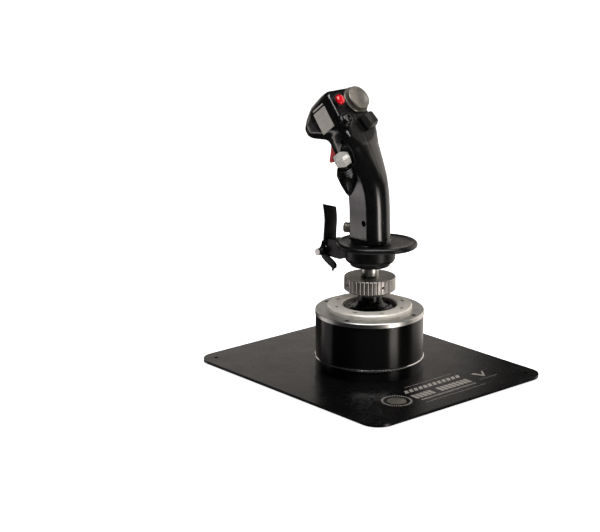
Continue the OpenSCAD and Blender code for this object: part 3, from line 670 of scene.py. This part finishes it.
def smoothed(table, spread):
    """Columns of a table as smooth functions of its first column."""
    step, margin = 0.5, 30
    low, high = table[0, 0] - margin, table[-1, 0] + margin
    where = np.arange(low, high, step)
    reach = np.arange(-4 * spread, 4 * spread + step, step)
    weight = np.exp(-0.5 * (reach / spread) ** 2)
    weight /= weight.sum()
    columns = []
    for c in range(1, table.shape[1]):
        x, y = table[:, 0], table[:, c]
        raw = np.interp(where, x, y)
        raw = np.where(where < x[0], y[0] + (where - x[0]) * (y[1] - y[0]) / (x[1] - x[0]), raw)
        raw = np.where(where > x[-1], y[-1] + (where - x[-1]) * (y[-1] - y[-2]) / (x[-1] - x[-2]), raw)
        columns.append(np.convolve(np.pad(raw, len(reach) // 2, mode="edge"), weight, "valid")[:len(where)])
    return lambda t: [np.interp(t, where, c) for c in columns]


stick_at = smoothed(SECTIONS, 4.0)
head_at = smoothed(STATIONS, 2.0)


def grip_field(x, y, z):
    """Signed distance, roughly, to the grip's skin: the stick and the head run into each other, the
    control face cuts the head flat and turns down below the hats, and the thumb's hollow is taken out.
    """
    power = 2.25
    cx, cy, left, right, front, back, flat = stick_at(z)
    dx, dy = x - cx, y - cy
    wide = np.where(dx < 0, left, right)
    deep = np.where(dy > 0, front, back)
    level = ((np.abs(dx) / wide) ** power + (np.abs(dy) / deep) ** power + 1e-9) ** (1 / power)
    stick = smooth_max((level - 1) * np.minimum(wide, deep), -dx - flat, 0.9)
    flare = 0.5 * np.exp(-((z - GRIP_BASE) / 1.5) ** 2)
    stick = smooth_max(stick - flare, z - STICK_TOP, 4.0)
    p = to_face(np.stack([x, y, z], -1))
    u, v, w = p[..., 0], p[..., 1], p[..., 2]
    y_low, y_high, x_low, x_high, corner = head_at(-w)
    qx = np.abs(u - (x_low + x_high) / 2) - (x_high - x_low) / 2 + corner
    qy = np.abs(v - (y_low + y_high) / 2) - (y_high - y_low) / 2 + corner
    head = np.hypot(np.maximum(qx, 0), np.maximum(qy, 0)) + np.minimum(np.maximum(qx, qy), 0) - corner
    head = smooth_max(head, -w - HEAD_DEPTH, 5.0)
    behind_hats = np.clip((4 - v) / 18, 0, 1) * np.clip((u + 16) / 12, 0, 1)
    whole = smooth_min(stick, head, 2.5 + 8.0 * behind_hats)
    below_hats = np.clip((-25 - v) / 12, 0, 1)
    whole = smooth_max(whole, w, 2.2 + 9.0 * below_hats)
    t = thumb_in(np.stack([x, y, z], -1))
    scoop = np.hypot(t[..., 0], t[..., 1]) - SCOOP_RADIUS
    scoop = smooth_max(scoop, SCOOP_FLOOR - t[..., 2], 2.0)
    whole = smooth_max(whole, -scoop, 1.6)
    return smooth_max(whole, GRIP_BASE - z, 0.4)


def cylinder_cutter(at, radius, low, high):
    """A closed cylinder to cut with, along the third axis of the frame that at maps from."""
    points, faces = lathe([(0, low), (radius, low), (radius, high), (0, high)], 48, at=at)
    return fix_normals(mesh_of("cutter", points, faces))


def along_x_at(y, z):
    """The outward map of a local frame whose third axis runs along X through y and z."""
    return unit_frame((0, 1, 0), (0, 0, 1), (0, y, z))[0]


def half_of(mesh, name, side):
    """One half of a closed mesh, capped at the seam, with its edge eased so that the seam shows."""
    gap, dip = 0.02, 0.06
    b = bmesh.new()
    b.from_mesh(mesh)
    plane = (SEAM_X + side * gap) * MM
    everything = [*b.verts, *b.edges, *b.faces]
    bmesh.ops.bisect_plane(
        b, geom=everything, plane_co=(plane, 0, 0), plane_no=(-side, 0, 0), clear_outer=True
    )
    b.normal_update()
    rim = {v for e in b.edges if e.is_boundary for v in e.verts}
    for v in rim:
        inward = Vector((0, v.normal.y, v.normal.z))
        if inward.length > 1e-6:
            v.co -= inward.normalized() * dip * MM
    edges = [e for e in b.edges if e.is_boundary]
    bmesh.ops.triangle_fill(b, edges=edges, use_beauty=True, use_dissolve=False, normal=(-side, 0, 0))
    bmesh.ops.recalc_face_normals(b, faces=b.faces)
    return mesh_from(b, name)


def make_grip():
    """Both halves of the grip, with its screw holes, the controls' bores and the trigger's slot."""
    lowest, highest, step = (-32, -26, 138), (24, 84, 296), 0.8
    points, quads = surface_net(grip_field, lowest, highest, step)
    block = bpy.data.objects.new("grip_block", mesh_of("grip_block", points, quads))
    bpy.context.scene.collection.objects.link(block)
    # y, z, the x of the hole's floor, radius
    screw_holes = [(-7.5, 161.7, -11.5, 3.2), (15.5, 243, -19.5, 2.2), (38, 262, -20.5, 2.6)]
    # place on the control face, radius, the bore's floor
    bores = [(TRIM_AT, 6.15, -12), (PUSH_AT, 6.75, -12), (LEFT_HAT_AT, 5.15, -11), (RIGHT_HAT_AT, 5.15, -11)]
    trigger_slot = [(39.5, 223), (61.5, 223), (61.5, 253), (39.5, 253)]
    tools = [cylinder_cutter(along_x_at(y, z), radius, -40, floor) for y, z, floor, radius in screw_holes]
    tools += [cylinder_cutter(on_face(place)[0], radius, floor, 3) for place, radius, floor in bores]
    tools += [slab("slot", trigger_slot, -8.6, 0.6, 0.4), cylinder_cutter(thumb_out, 6, -32, -4)]
    cut(block, tools)
    for name, side, node in (("grip_left", -1, "grip_left_shell"), ("grip_right", 1, "grip_right_shell")):
        piece(name, half_of(block.data, name, side), "stick", "grip_black", [node], 38)
    bpy.data.objects.remove(block)


make_grip()


# ---------------------------------------------------------------- palm rest

PALM_COUNT = 160


def palm_outline(inset):
    """Points round the oval that is shrunk by inset: two circles and what lies between them."""
    circles = [((0, 0), 35.4 - inset), ((10.6, -9.2), 34.7 - inset)]
    made = []
    for i in range(PALM_COUNT):
        a = 2 * math.pi * i / PALM_COUNT
        u = np.array([math.cos(a), math.sin(a)])
        centre, r = max(circles, key=lambda c: np.dot(c[0], u) + c[1])
        made.append(np.array(centre) + r * u)
    return np.array(made)


def make_palm_rest():
    """The oval disc with a rolled lip, a shallow dish inside it and a neck up to the grip."""
    lip, low, dish, neck_radius = 2.9, 133.4, 138.4, 20.5
    count = PALM_COUNT
    angles = [2 * math.pi * i / count for i in range(count)]
    neck = np.array([[neck_radius * math.cos(a), neck_radius * math.sin(a)] for a in angles])
    rings = [(palm_outline(11), low), (palm_outline(6), low), (palm_outline(3.8), low + 0.05)]
    for degrees in range(-80, 111, 12):
        a = math.radians(degrees)
        rings.append((palm_outline(lip - lip * math.cos(a)), low + lip + lip * math.sin(a)))
    rings += [(palm_outline(5.2), 138.75), (palm_outline(7.5), 138.5), (palm_outline(10), dish)]
    inner = palm_outline(12)
    for share in (0.25, 0.6, 0.85):
        rings.append((inner + (neck - inner) * share, dish))
    rings += [(neck, 138.5), (neck * 0.985, 138.9), (neck * 0.985, GRIP_BASE - 0.02)]
    points = np.concatenate([np.column_stack([xy, np.full(len(xy), z)]) for xy, z in rings])
    faces = []
    for k in range(len(rings) - 1):
        for i in range(count):
            j = (i + 1) % count
            faces.append((k * count + i, k * count + j, (k + 1) * count + j, (k + 1) * count + i))
    faces.append(list(range(count - 1, -1, -1)))
    faces.append([(len(rings) - 1) * count + i for i in range(count)])
    mesh = fix_normals(mesh_of("palm_disc", points, faces))
    piece("palm_disc", mesh, "stick", "plastic_black", ["palm_rest"])


make_palm_rest()


# ---------------------------------------------------------------- boot

def make_boot():
    """The rubber boot's two turned rings, which stay fixed in the frame."""
    base, neck_top = 65.9, 82

    def folds(r, z, a):
        """Six soft waves round the outer ring's roll."""
        share = math.exp(-((r - 24.5) / 2.6) ** 2)
        return r, z + share * 0.3 * math.cos(6 * a)

    outer = [
        (33.6, base), (33.6, base + 1.3), (30, base + 1.3), (27.8, base + 1.3), (26.4, base + 2.1),
        (25, base + 3.3), (24, base + 4.0), (23, base + 4.3), (22, base + 3.9), (21, base + 3.3),
        (20.2, base + 3.2), (19.9, base + 2.3), (21, base + 2.2), (22.4, base + 2.9), (23.4, base + 2.9),
        (24.6, base + 2.0), (26.4, base + 0.6), (27.4, base),
    ]
    points, faces = ring_lathe(outer, 144, folds)
    mesh = fix_normals(mesh_of("boot_bellows", points, faces))
    made = piece("boot_bellows", mesh, None, "rubber", ["boot_outer"])
    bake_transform(made)

    def lobes(r, z, a):
        """Six soft waves where the inner ring leaves the roll."""
        share = math.exp(-((r - 15.5) / 2.2) ** 2)
        return r, z + share * 0.25 * math.cos(6 * a)

    inner = [
        (20.6, base + 2.5), (20.6, base + 3.4), (19.4, base + 4.4), (18, base + 4.7), (16.6, base + 4.9),
        (15.4, base + 5.9), (14.4, base + 7.4), (13.9, base + 8.4), (13.2, base + 9.0), (13.3, base + 10.0),
        (12.6, base + 11.0), (12.5, base + 13), (12.2, 80.4), (12.2, neck_top), (9.4, neck_top),
        (9.4, base + 10.4),
        (12.2, base + 7), (14.2, base + 4.6), (16, base + 3.7), (18.4, base + 3.4),
    ]
    points, faces = ring_lathe(inner, 144, lobes)
    mesh = fix_normals(mesh_of("boot_neck", points, faces))
    made = piece("boot_neck", mesh, None, "rubber", ["boot_inner"])
    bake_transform(made)


make_boot()


# ---------------------------------------------------------------- hats and buttons

def round_profile(points, passes=2):
    """Rounds an open profile's inner corners."""
    p = np.array(points, float)
    for _ in range(passes):
        middle = np.stack([0.75 * p[:-1] + 0.25 * p[1:], 0.25 * p[:-1] + 0.75 * p[1:]], 1).reshape(-1, 2)
        p = np.concatenate([p[:1], middle, p[-1:]])
    return [tuple(q) for q in p]


def turned_piece(name, profile, at, body, slot, replaced, count=96, wave=None, passes=1):
    """A turned piece whose profile's corners are rounded first."""
    rounded = [(0 if r < 1e-9 else r, z) for r, z in round_profile(profile, passes)]
    points, faces = lathe(rounded, count, wave, at)
    return piece(name, fix_normals(mesh_of(name, points, faces)), body, slot, replaced)


def net_piece(name, field, low, high, step, at, body, slot, replaced, angle=60):
    """A piece whose shape is a field in its own frame, which at maps to the grip."""
    points, quads = surface_net(field, low, high, step)
    return piece(name, mesh_of(name, at(points), quads), body, slot, replaced, angle)


def make_hats():
    """The caps on the control face, the side button and the red button."""
    rim = 3.6

    def knurl(r, z, a):
        """Sixty fine ridges round the trim hat's rim."""
        ridge = 0.1 * math.cos(60 * a) if r > 12.7 else 0
        return r + ridge, z

    turned_piece("trim_dish", [
        (0, 2.4), (3, 2.4), (3, 3.3), (9.6, 3.3), (11.6, rim + 1.0), (12.8, rim + 1.7),
        (12.9, rim + 2.3), (12.5, rim + 2.9), (11.6, rim + 3.1), (10.4, rim + 2.8), (7.6, rim + 1.9),
        (3.5, rim + 1.3), (0, rim + 1.1),
    ], on_face(TRIM_AT)[0], "trim", "hat_grey", ["trim_cap"], 180, knurl)

    def crown(x, y, z):
        """A round stepped cap: a skirt, a drum with a groove and a dished top."""
        radius = np.hypot(x, y)
        skirt = smooth_max(radius + 0.55 * z - 9.9, np.abs(z - 3.0) - 1.2, 0.6)
        drum = smooth_max(radius + 0.35 * z - 8.1, z - 6.9, 1.2)
        groove = np.hypot(radius - 6.9, z - 4.6) - 0.8
        whole = smooth_min(skirt, smooth_max(drum, 1.2 - z, 0.3), 0.8)
        whole = smooth_max(whole, -groove, 0.4)
        dish = np.sqrt(x ** 2 + y ** 2 + (z - 13.6) ** 2) - 7.6
        return smooth_max(whole, -dish, 0.6)

    net_piece("left_hat_crown", crown, (-10, -10, 0.4), (10, 10, 8.5), 0.22, on_face(LEFT_HAT_AT)[0],
              "left_hat", "grip_black", ["left_hat_cap"])

    def pyramid(x, y, z):
        """A square cap that narrows upwards to a hollow top."""
        turn = math.radians(58)
        u = x * math.cos(turn) + y * math.sin(turn)
        v = -x * math.sin(turn) + y * math.cos(turn)
        reach = np.interp(z, [2.1, 3.3, 8.8], [11.6, 11.4, 8.6]) / math.sqrt(2)
        a = (u + v) / math.sqrt(2)
        b = (u - v) / math.sqrt(2)
        side = smooth_max(np.abs(a) - reach, np.abs(b) - reach, 2.2)
        body = smooth_max(side, z - 8.7, 0.8)
        body = smooth_max(body, 2.1 - z, 0.5)
        hollow = np.sqrt(x ** 2 + y ** 2 + (z - 40) ** 2) - 31.9
        return smooth_max(body, -hollow, 0.5)

    net_piece("right_hat_pyramid", pyramid, (-13, -13, 1), (13, 13, 10), 0.35, on_face(RIGHT_HAT_AT)[0],
              "right_hat", "hat_black", ["right_hat_cap"])

    facing = math.radians(SIDE_BUTTON_FACING)
    across = (-math.sin(facing), math.cos(facing), 0)
    side_out = unit_frame((0, 0, -1), across, SIDE_BUTTON_AT)[0]
    turned_piece("side_knob", [
        (0, -0.5), (5.3, -0.5), (5.3, 3.6), (4.9, 4.0), (5.3, 4.4), (5.3, 7.4), (4.7, 8.3),
        (3.2, 8.4), (0, 8.1),
    ], side_out, "side", "hat_grey", ["side_button"], 64)

    turned_piece("red_dome", [
        (0, -5), (5.5, -5), (5.5, 2.3), (5.35, 3.4), (4.6, 4.5), (2.8, 5.2), (0, 5.4),
    ], on_face(PUSH_AT)[0], "push", "red_gloss", ["red_button"], 72, passes=2)


make_hats()


# ---------------------------------------------------------------- thumb hat

def make_thumb_hat():
    """The faceted knob and the ringed sleeve that tapers into the grip."""
    def knob(x, y, z):
        """Six upright facets, six that lean in to the flat top and six that lean in below.

        The field goes on below the knob, which ends, open, at the low side of its grid.
        """
        sides, soft = 6, 0.16
        lean, undercut = math.radians(42), 1.0
        whole = np.full(np.shape(x), -99.0)
        for k in range(sides):
            a = 2 * math.pi * (k + 0.3) / sides
            across = x * math.cos(a) + y * math.sin(a)
            whole = smooth_max(whole, across - 7.7, soft)
            whole = smooth_max(whole, across * math.sin(lean) + z * math.cos(lean) - 7.9, soft)
            below = across * math.cos(undercut) - (z + 4.2) * math.sin(undercut)
            whole = smooth_max(whole, below - 4.0, soft)
        return smooth_max(whole, z - 6.2, soft)

    net_piece("thumb_knob", knob, (-11, -11, -5.2), (11, 11, 7.2), 0.24, thumb_out,
              "thumb", "button_silver", ["thumb_cap"], 24)

    neck = -10
    turned_piece("thumb_sleeve", [
        (0, neck - 9), (5.2, neck - 9), (5.6, neck), (6.9, neck), (8.2, neck - 0.7), (8.4, neck - 1.3),
        (7.4, neck - 1.8), (7.4, neck - 2.2), (8.9, neck - 2.8), (9.2, neck - 3.8), (8.2, neck - 4.4),
        (8.2, neck - 4.8), (10.0, neck - 5.8), (10.2, neck - 8), (8.2, neck - 22), (5.6, neck - 32),
        (2.6, neck - 36.4), (0, neck - 37),
    ], thumb_out, "stick", "grip_black", ["thumb_housing"], 96)


make_thumb_hat()


# ---------------------------------------------------------------- paddle

def make_paddle():
    """The lever as one mesh: blade with a sloped tip, web, two ears on the pivot, rear arm and foot."""
    left, right = -13.0, 3.5
    tip, tip_slope = 169.8, math.radians(17.4)
    blade = rounded_path([
        (55.6, 128), (55.4, 140), (54.4, 150), (54.8, 158), (57.2, 171), (59.8, 170.4),
        (57.2, 158), (56.8, 150), (57.8, 141), (58.8, 128),
    ], 3)
    b = bmesh.new()
    b.from_mesh(slab("blade", blade, left, right, 0.5))
    bmesh.ops.bisect_plane(
        b, geom=[*b.verts, *b.edges, *b.faces], plane_co=(left * MM, 0, tip * MM),
        plane_no=(math.sin(tip_slope), 0, math.cos(tip_slope)), clear_outer=True,
    )
    bmesh.ops.holes_fill(b, edges=[e for e in b.edges if e.is_boundary], sides=0)
    ear_left, ear_right, ear = -14.4, 2.3, 2.6
    web = rounded_path([(55.2, 125.6), (55.2, 131), (59, 131), (59.8, 124), (58.2, 123.2)], 2)
    ear_outline = rounded_path([
        (55.2, 121), (54.6, 118.8), (56, 115.2), (59.6, 113.8), (63, 115.2), (64.6, 118.8), (63, 122),
        (60.2, 125), (59, 131), (55.2, 131),
    ], 2)
    arm = rounded_path([(62, 113), (42, 102.8), (37.6, 104.6), (37.4, 109.4), (43, 112.8), (56, 118)], 2)
    pieces = [
        mesh_from(b, "paddle_blade"),
        slab("web", web, ear_left, ear_right + ear, 0.4),
        slab("ear_a", ear_outline, ear_left, ear_left + ear, 0.5),
        slab("ear_b", ear_outline, ear_right, ear_right + ear, 0.5),
        slab("arm", arm, ear_left, ear_left + ear, 0.6),
    ]
    b = bmesh.new()
    for part in pieces:
        b.from_mesh(part)
    foot_points, foot_faces = lathe(
        [(0, 101), (0.9, 101), (1.2, 101.3), (1.2, 107), (0, 107)], 24,
        at=lambda p: p + np.array([ear_left + ear / 2, 42.6, 0]),
    )
    b.from_mesh(fix_normals(mesh_of("foot", foot_points, foot_faces)))
    bmesh.ops.recalc_face_normals(b, faces=b.faces)
    piece("paddle_arm", mesh_from(b, "paddle_arm"), "paddle", "frame_black", ["paddle_lever"])


make_paddle()


# ---------------------------------------------------------------- marks on the plate's top

def make_marks():
    """A round badge, rows of blank bars, thin rules and a chevron in place of what is printed there."""
    badge = (-54.3, -98.3)
    low, high = 4.9, 5.1
    points, faces = [], []

    def bar(corners):
        """A thin raised patch between four corners."""
        start = len(points)
        for z in (low, high):
            points.extend((x, y, z) for x, y in corners)
        a, b, c, d = range(start, start + 4)
        faces.extend([(d, c, b, a), (a + 4, b + 4, c + 4, d + 4)])
        for p, q in ((a, b), (b, c), (c, d), (d, a)):
            faces.append((p, q, q + 4, p + 4))

    def row(x0, x1, y0, height, width, gap, slant=0.0):
        """Equal bars side by side from x0 to x1. Slant leans them to the right."""
        x = x0
        while x + width <= x1:
            top = slant * height
            bar([(x, y0), (x + width, y0), (x + width + top, y0 + height), (x + top, y0 + height)])
            x += width + gap

    row(-21, 47, -76, 0.5, 67, 1)
    row(-33, 46, -89.5, 6.5, 4.6, 2.0, 0.5)
    row(-34, -6, -107, 10.5, 4.0, 1.6)
    row(1, 48, -107, 10.5, 4.0, 1.6)
    row(-33, 44, -113.5, 2.6, 1.8, 1.3)
    row(-35, 50, -120.2, 0.5, 84, 1)
    row(54, 80, -108.2, 0.5, 25, 1)
    bar([(59, -90), (66.4, -104), (68.4, -102), (63.5, -90)])
    bar([(66.4, -104), (76.4, -90), (73, -91.4), (67.2, -99.5)])
    count, inner, outer = 40, 13.4, 15.6
    half_width = 0.3 * 2 * math.pi / count
    for k in range(count):
        a = 2 * math.pi * k / count
        start, end = a - half_width, a + half_width
        corners = ((inner, start), (outer, start), (outer, end), (inner, end))
        bar([(badge[0] + r * math.cos(t), badge[1] + r * math.sin(t)) for r, t in corners])
    piece("plate_marks", fix_normals(mesh_of("plate_marks", points, faces)), "base", "head_satin")
    coin = [
        (0, low), (9.9, low), (9.9, high - 0.05), (9.7, high), (6.8, high), (6.4, high + 0.15),
        (0, high + 0.2),
    ]
    made = lathe(coin, 64, at=lambda p: p + np.array([*badge, 0]))
    piece("plate_badge", fix_normals(mesh_of("plate_badge", *made)), "base", "hat_grey")


make_marks()
